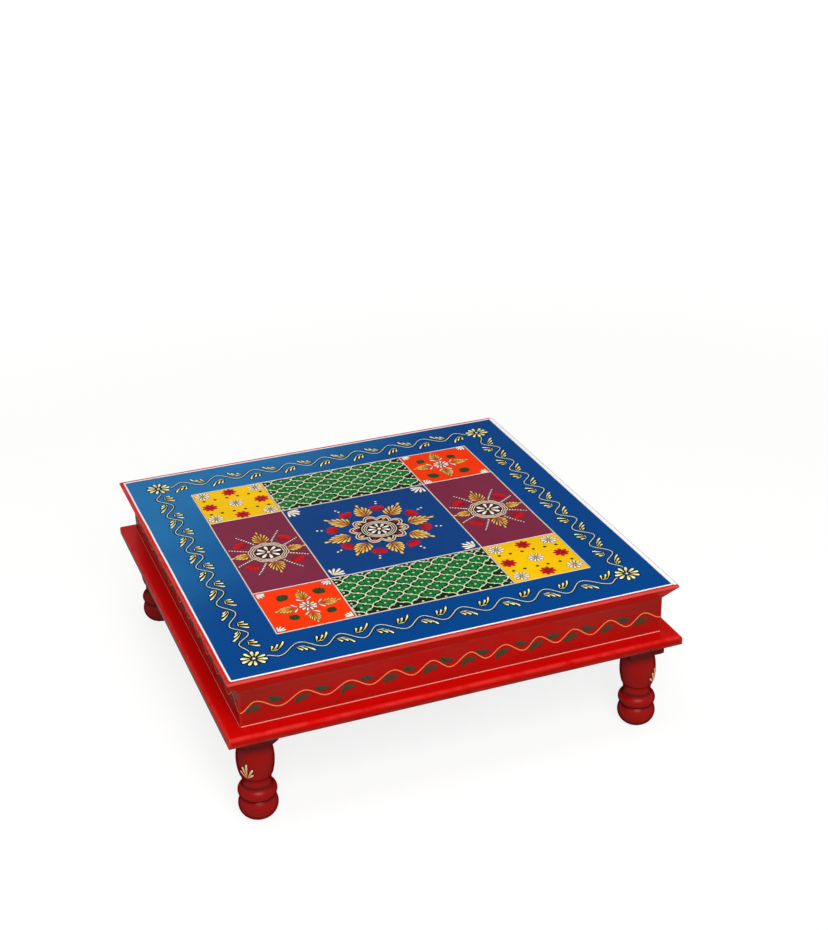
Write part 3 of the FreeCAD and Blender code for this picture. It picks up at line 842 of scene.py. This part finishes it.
starTile = {
    "shift": (3.3, -2.0),
    "flower": (10, 2.2, 8.8, 2.3, 0.5),
    "heart": (2.4, 0.6),
    "feather": (15.2, 17.6, 1.6),
    # Start, turn about the middle, lean, then length, width and height, and bend
    "gull": (9.8, 3, 56, 8.6, 2.0, 0.45, 0.8),
    "leaves": ((31.0, 52, 13.0), (25.0, -41, 10.5)),
    "leafWidth": 0.36,
    "leafFan": (6, 44, 170, 0.1, 0.02),
    # Inset, length, width, then how many strokes, their spread and how slowly they shorten
    "sprig": (37.5, 10.0, 2.1, 4, 34, 260),
}


def makeStarTile(label, x, y, seed, mirror):
    rng = Dice(seed)
    centreX, centreY = (place + shift * mirror for place, shift in zip((x, y), starTile["shift"]))
    white = ringMarks("petal", centreX, centreY, *starTile["flower"], 0, 3, rng)
    white.append(dotMark(centreX, centreY, *starTile["heart"]))
    gold, leaves = [], []
    for quarter in range(4):
        heading = 90 * quarter
        gold += featherMarks(centreX, centreY, heading, *starTile["feather"])
        start, aside, lean, *size, bend = starTile["gull"]
        for turn in (1, -1):
            foot = around(centreX, centreY, start, heading + aside * turn)
            white.append(mark("comma", *foot, heading + turn * lean, *size, turn * bend))
        white += cornerSprig(x, y, quarter, *starTile["sprig"])
    for radius, angle, size in starTile["leaves"]:
        leafX, leafY = around(0, 0, radius, angle)
        for flip in (1, -1):
            heading = angle * mirror if flip > 0 else 180 - angle * mirror
            foot = around(centreX + leafX * flip, centreY + leafY * mirror, -size / 2, heading)
            leaves += fanMarks("stroke", *foot, heading, size, size * starTile["leafWidth"],
                               *starTile["leafFan"])
    stampTile(f"orange_tile_{label}", seed, ("white", white, "white", 0.6), ("feathers", gold, "gold", 0.6),
              ("leaves", leaves, "leaf", 0.2))


def scallopPath(x, y, radius, count, depth, start=0.0, points=10):
    shares = [index / points for index in range(count * points)]
    return [around(x, y, radius + depth * abs(math.sin(math.pi * share)), start + 360 * share / count)
            for share in shares]


rayTile = {
    "level": -0.5,
    "ground": 20.5,
    "flower": (8, 3.2, 13.0, 3.7, 0.6),
    "heart": (3.6, 0.65),
    "rings": ((14.9, 0.8), (17.0, 1.1), (19.1, 1.5)),
    "ringSize": (1.25, 0.35),
    "scallops": 10,
    "feathers": {0: (20.8, 18.2), 90: (21.5, 26.0), 180: (20.8, 18.2), 270: (21.5, 25.0)},
    "featherWidth": 1.7,
    "bloomLean": 47,
    "bloom": (34.0, 15.0, 0.85),
    # Rays of dots: heading, start, step, how many dots, and how far each turns on
    "rays": ((67, 24.5, 3.3, 8, 0.6), (26, 23.0, 2.9, 7, 0.36)),
    "dot": 2.1,
    "dotShrink": 0.08,
}


def makeRayTile(label, x, seed):
    rng = Dice(seed)
    y = rayTile["level"]
    ground = [discMark(x, y, rayTile["ground"])]
    white = ringMarks("petal", x, y, *rayTile["flower"], 0, 3, rng)
    white.append(dotMark(x, y, *rayTile["heart"]))
    rings = [scallopPath(x, y, radius, rayTile["scallops"], depth) for radius, depth in rayTile["rings"]]
    pipeLines(f"maroon_tile_{label}_rings", rings, *rayTile["ringSize"], "beige", closed=True)
    gold, blooms = [], []
    for heading, reach in rayTile["feathers"].items():
        gold += featherMarks(x, y, heading, *reach, rayTile["featherWidth"])
    for flipX in (1, -1):
        for flipY in (1, -1):
            across, up = around(0, 0, 1, rayTile["bloomLean"])
            angle = math.degrees(math.atan2(flipY * up, flipX * across))
            blooms += bloomMarks(x, y, angle, *rayTile["bloom"])
            for turn, start, step, count, spread in rayTile["rays"]:
                turn += rng.shake(2)
                for index in range(count):
                    bent = turn + spread * (index if turn < 45 else -index)
                    across, up = around(0, 0, start + step * index, bent)
                    white.append(dotMark(x + flipX * across, y + flipY * up,
                                         rayTile["dot"] - rayTile["dotShrink"] * index))
    stampTile(f"maroon_tile_{label}", seed, ("ground", ground, "plum", 0.2), ("white", white, "white", 0.6),
              ("feathers", gold, "gold", 0.6), ("leaves", blooms, "red", 0.2))


medallion = {
    "turn": 5,
    "ground": 29.5,
    "flower": (9, 3.4, 11.6, 3.3, 0.65),
    "heart": (4.2, 0.7),
    "rings": (13.4, 15.6, 18.0),
    "ringSize": (1.15, 0.35),
    "scallopRings": ((20.6, 6.8), (24.4, 6.2)),
    "scallopSize": (1.5, 0.4),
    "scallops": 10,
    # Start, length, width and height; a bloom's width is a share of its length
    "drops": (20.4, 5.2, 4.4, 0.5),
    "feather": (33.5, 28.5, 2.7, 0.5),
    "stalk": (31.5, 39.0, 1.5, 0.12),
    "bloom": (48.5, 14.5, 0.9),
    "arms": 8,
    "dots": (59.5, 64.2),
    "dot": (2.5, 0.4),
    "sprig": (76.0, 15.0, 2.6, 5, 48, 260),
}


def makeMedallion(x, y, seed):
    rng = Dice(seed)
    turn = medallion["turn"]
    ground = [discMark(x, y, medallion["ground"])]
    white = ringMarks("petal", x, y, *medallion["flower"], 90, 2, rng)
    white.append(dotMark(x, y, *medallion["heart"]))
    circles = [scallopPath(x, y, radius, 24, 0.0, points=3) for radius in medallion["rings"]]
    pipeLines("medallion_rings", circles, *medallion["ringSize"], "beige", closed=True)
    scallops = [scallopPath(x, y, radius, medallion["scallops"], depth, turn)
                for radius, depth in medallion["scallopRings"]]
    pipeLines("medallion_scallops", scallops, *medallion["scallopSize"], "beige", closed=True)
    drops, redDrops = [], []
    for index in range(medallion["scallops"]):
        angle = turn + 360 / medallion["scallops"] * (index + 0.5)
        start, *size = medallion["drops"]
        target = drops if index % 2 else redDrops
        target.append(mark("petal", *around(x, y, start, angle), angle, *size))
    gold, red, stalks = [], [], []
    for index in range(medallion["arms"]):
        heading = turn + 360 / medallion["arms"] * index + rng.shake(2.5)
        start, length, *size = medallion["feather"]
        gold += featherMarks(x, y, heading, start, length + rng.shake(1.5), *size)
        start, *size = medallion["stalk"]
        stalks.append(mark("stem", *around(x, y, start, heading), heading, *size))
        between = heading + 180 / medallion["arms"]
        red += bloomMarks(x, y, between, *medallion["bloom"])
        for away in medallion["dots"]:
            white.append(dotMark(*around(x, y, away, between), *medallion["dot"]))
    for quarter in range(4):
        white += cornerSprig(x, y, quarter, *medallion["sprig"])
    stampTile("medallion", seed, ("ground", ground, "night", 0.2), ("stalks", stalks, "stalk", 0.2),
              ("white", white, "white", 0.6), ("gold_drops", drops, "gold", 0.4),
              ("red_drops", redDrops, "red", 0.4), ("feathers", gold, "gold", 0.6),
              ("red_flowers", red, "red", 0.2))


# Ogee net: rows of four-lobed flowers, and at each crossing between them two strokes back to back, like )(
lattice = {
    "firstX": -82.7,
    "step": (11.67, 11.35),
    "lobes": ((0, 8.9, 6.4), (90, 7.3, 6.0)),
    "line": (1.2, 0.3),
    "arm": ((0.62, 0.41), (0.52, 0.44), (0.40, 0.43), (0.26, 0.38), (0.13, 0.28), (0.06, 0.16),
            (0.03, 0.05)),
}


def makeLatticeTile(label, yLow, yHigh, firstY, seed):
    rng = Dice(seed)
    xLow, xHigh = tile["columns"][1], tile["columns"][2]
    stepX, stepY = lattice["step"]
    lobes, dots, lines = [], [], []

    def inside(x, y, margin):
        return xLow + margin < x < xHigh - margin and yLow + margin < y < yHigh - margin

    for row in range(int((yHigh - firstY) / stepY) + 2):
        for column in range(15):
            x = lattice["firstX"] + column * stepX + rng.shake(0.5)
            y = firstY + row * stepY + rng.shake(0.4)
            if (row + column) % 2 == 0:
                for quarter in range(4):
                    heading, reach, width = lattice["lobes"][quarter % 2]
                    heading += 180 * (quarter // 2)
                    if inside(x, y, 4.0) and inside(*around(x, y, reach, heading), 0.2):
                        lobes.append(mark("lobe", x, y, heading, reach, width, 0.1))
                if inside(x, y, -3.0):
                    dotX, dotY = min(max(x, xLow + 3), xHigh - 3), min(max(y, yLow + 2.8), yHigh - 2.8)
                    dots.append(dotMark(dotX, dotY, 2.5, 0.4))
                continue
            for side in (1, -1):
                arm = [(side * across * rng.uniform(0.96, 1.04), up) for across, up in lattice["arm"]]
                path = [(x + across * stepX, y - up * stepY) for across, up in arm]
                path += [(x + across * stepX, y + up * stepY) for across, up in reversed(arm)]
                path = [point for point in path if inside(*point, 0.3)]
                if len(path) > 3:
                    lines.append(path)
    pipeLines(f"green_tile_{label}_lattice", lines, *lattice["line"], "lattice", outline=0.3)
    stampMarks(f"green_tile_{label}_lobes", lobes, "green", seed, 0.1)
    stampMarks(f"green_tile_{label}_dots", dots, "lattice", seed)


makeDaisyTile("front_right", right, front, 101)
makeDaisyTile("back_left", left, back, 102)
makeStarTile("front_left", left, front, 103, 1)
makeStarTile("back_right", right, back, 104, -1)
makeRayTile("left", left, 105)
makeRayTile("right", right, 106)
makeMedallion(centre, middle, 107)
makeLatticeTile("front", tile["rows"][0], tile["rows"][1], -155.9, 108)
makeLatticeTile("back", tile["rows"][2], tile["rows"][3], 86.5, 109)
print("tiles painted")


# Aprons: vine, leaves and the line along the foot
apronVine = {
    "crests": (-198.2, -152.1, -108.6, -66.2, -27.4, 10.8, 45.4, 80.8, 117.7, 156.2, 193.8),
    "troughs": (-175.0, -130.4, -87.4, -46.6, -8.9, 27.7, 66.2, 100.8, 137.7, 176.2),
    "crestLevel": 132.6,
    "troughLevel": 122.4,
    "line": (1.35, 0.25),
    "footLevel": 108.5,
    "footLine": (1.2, 0.2),
    "half": 212.6,
    "leafScale": (1.1, 1.16),
    # Each leaf: shift, level, then its strokes (across, up, heading, length, width, shade)
    "upperLeaf": (-3.0, 129.9, ((5.6, -1.6, 168, 12.6, 5.6, 0.9), (-2.0, -2.8, 128, 7.6, 3.4, 0.0),
                                (1.2, -3.0, 124, 7.4, 3.3, 0.1), (4.0, -2.4, 128, 6.4, 3.0, 0.3),
                                (6.4, -1.2, 146, 5.4, 2.6, 0.6))),
    "lowerLeaf": (-1.4, 124.8, ((6.0, 1.8, 190, 12.4, 5.8, 0.9), (-2.4, 4.4, 246, 10.0, 3.6, 0.0),
                                (0.8, 4.6, 248, 8.0, 3.3, 0.15), (3.6, 4.4, 252, 7.0, 3.1, 0.4),
                                (6.0, 3.8, 258, 5.8, 2.8, 0.7))),
}


def makeApronPattern(side, seed):
    rng = Dice(seed)
    plane = apronPlanes[side]
    shift = 0.0 if side == "front" else rng.shake(2.0)
    crests = [(x + shift, apronVine["crestLevel"] + rng.shake(0.8)) for x in apronVine["crests"]]
    troughs = [(x + shift, apronVine["troughLevel"] + rng.shake(0.6)) for x in apronVine["troughs"]]
    turns = [(-apronVine["half"], apronVine["troughLevel"] + 0.6)]
    turns += sorted(crests + troughs) + [(apronVine["half"], apronVine["troughLevel"] + 2)]
    pipeLines(f"apron_vine_{side}", [wavePath(turns)], *apronVine["line"], "apronVine", outline=0.3,
              plane=plane)
    leaves = []
    for places, leaf in ((troughs, apronVine["upperLeaf"]), (crests, apronVine["lowerLeaf"])):
        shiftX, level, strokes = leaf
        for placeX, placeZ in places:
            for index, (x, z, heading, length, width, shade) in enumerate(strokes):
                longer, wider = apronVine["leafScale"]
                leaves.append(mark("stroke", placeX + shiftX + x, level + z + rng.shake(0.3),
                                   heading + rng.shake(6), length * longer * rng.uniform(0.9, 1.08),
                                   width * wider, 0.07 + 0.02 * index, shade=shade + rng.uniform(0, 0.2)))
    stampMarks(f"apron_leaves_{side}", leaves, "apronLeaf", seed, 0.25, plane)
    half, foot = apronVine["half"] - 0.2, apronVine["footLevel"]
    pipeLines(f"apron_foot_line_{side}", [wobblyLine((-half, foot), (half, foot), seed, amount=0.15)],
              *apronVine["footLine"], "pinkLine", outline=0.2, plane=plane)


for number, side in enumerate(apronPlanes):
    makeApronPattern(side, 201 + number)
print("aprons painted")


# Fan of five petals on each leg: how far each leans from upright, and its length
legFan = {"level": 49.0, "petals": ((-37, 9.8), (-13, 13.8), (2, 17.0), (26, 13.0), (46, 8.2)),
          "size": (2.2, 0.4), "bellyRadius": 0.0155, "startOut": 0.06}


def makeLegFan(node, turn, seed):
    low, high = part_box(node)
    axisX, axisY = (low.x + high.x) / 2, (low.y + high.y) / 2
    outward = math.atan2(axisY, axisX) + math.radians(turn)
    mesh = nodes[node].data
    tree = BVHTree.FromPolygons([vert.co for vert in mesh.vertices],
                                [tuple(face.vertices) for face in mesh.polygons])
    marks = [mark("comma", 0, 0, 90 - lean, length, *legFan["size"]) for lean, length in legFan["petals"]]
    piece = stampMarks(f"{node}_fan", marks, "peach", seed, 0.7, Matrix())
    for vert in piece.data.vertices:
        across, up, out = vert.co
        angle = outward + across / legFan["bellyRadius"]
        away = Vector((math.cos(angle), math.sin(angle), 0))
        start = Vector((axisX, axisY, legFan["level"] * mm + up)) + away * legFan["startOut"]
        vert.co = tree.ray_cast(start, -away)[0] + away * out


fanTurns = {"front_left": 0, "front_right": -7, "back_right": 4, "back_left": -5}
for number, (corner, turn) in enumerate(fanTurns.items()):
    makeLegFan(f"leg_{corner}", turn, 301 + number)
print("legs painted")


# Floor and light
studio = {
    "floor": colour(128, 127, 125),
    "floorSize": 15,
    # Glow at 0.7 m from the middle and less, and at 2.4 m and more
    "floorGlow": (0.7, 2.4, 0.82, 1.0),
    "world": 0.27,
    "key": {"place": (-0.39, -1.98, 1.69), "size": 1.5, "power": 54},
    "over": {"place": (-0.3, -0.2, 2.3), "size": 1.2, "power": 14},
    "back": {"place": (0.05, 1.9, 0.95), "size": 0.9, "power": 2.5},
}


# 1 for the rays that look at the floor or the world, also by a reflection
def lookedAt(g):
    path = g.add("ShaderNodeLightPath").outputs
    mirrored = g.most(path["Is Glossy Ray"], path["Is Transmission Ray"])
    return g.most(path["Is Camera Ray"], mirrored)


# A pale floor: it bounces little light, is seen as white, and keeps the table's shadow
def makeFloor():
    shape = bmesh.new()
    bmesh.ops.create_grid(shape, x_segments=2, y_segments=2, size=studio["floorSize"])
    mesh = meshOf("floor", shape)
    floor = linked("floor", mesh)
    material, g, shader, place = newMaterial("floorPaper", Base_Color=studio["floor"], Roughness=0.9,
                                             Specular_IOR_Level=0.0)
    shader["Emission Color"].default_value = (1, 1, 1, 1)
    glow = g.ramp(g.vector("LENGTH", place)["Value"], *studio["floorGlow"])
    g.feed(shader["Emission Strength"], g.times(lookedAt(g), glow))
    mesh.materials.append(material)


def makeWorld():
    world = bpy.data.worlds.new("studio")
    scene.world = world
    world.use_nodes = True
    g = Graph(world.node_tree)
    background = world.node_tree.nodes["Background"]
    background.inputs["Color"].default_value = (1, 1, 1, 1)
    g.feed(background.inputs["Strength"], g.most(lookedAt(g), studio["world"]))


def makeLamp(name, setup):
    data = bpy.data.lights.new(name, "AREA")
    data.energy = setup["power"]
    data.size = setup["size"]
    lamp = linked(name, data)
    lamp.location = setup["place"]
    lamp.rotation_euler = (Vector((0, 0, 0.1)) - lamp.location).to_track_quat("-Z", "Y").to_euler()


makeFloor()
makeWorld()
for name in ("key", "over", "back"):
    makeLamp(f"{name}Lamp", studio[name])
print("studio lit")
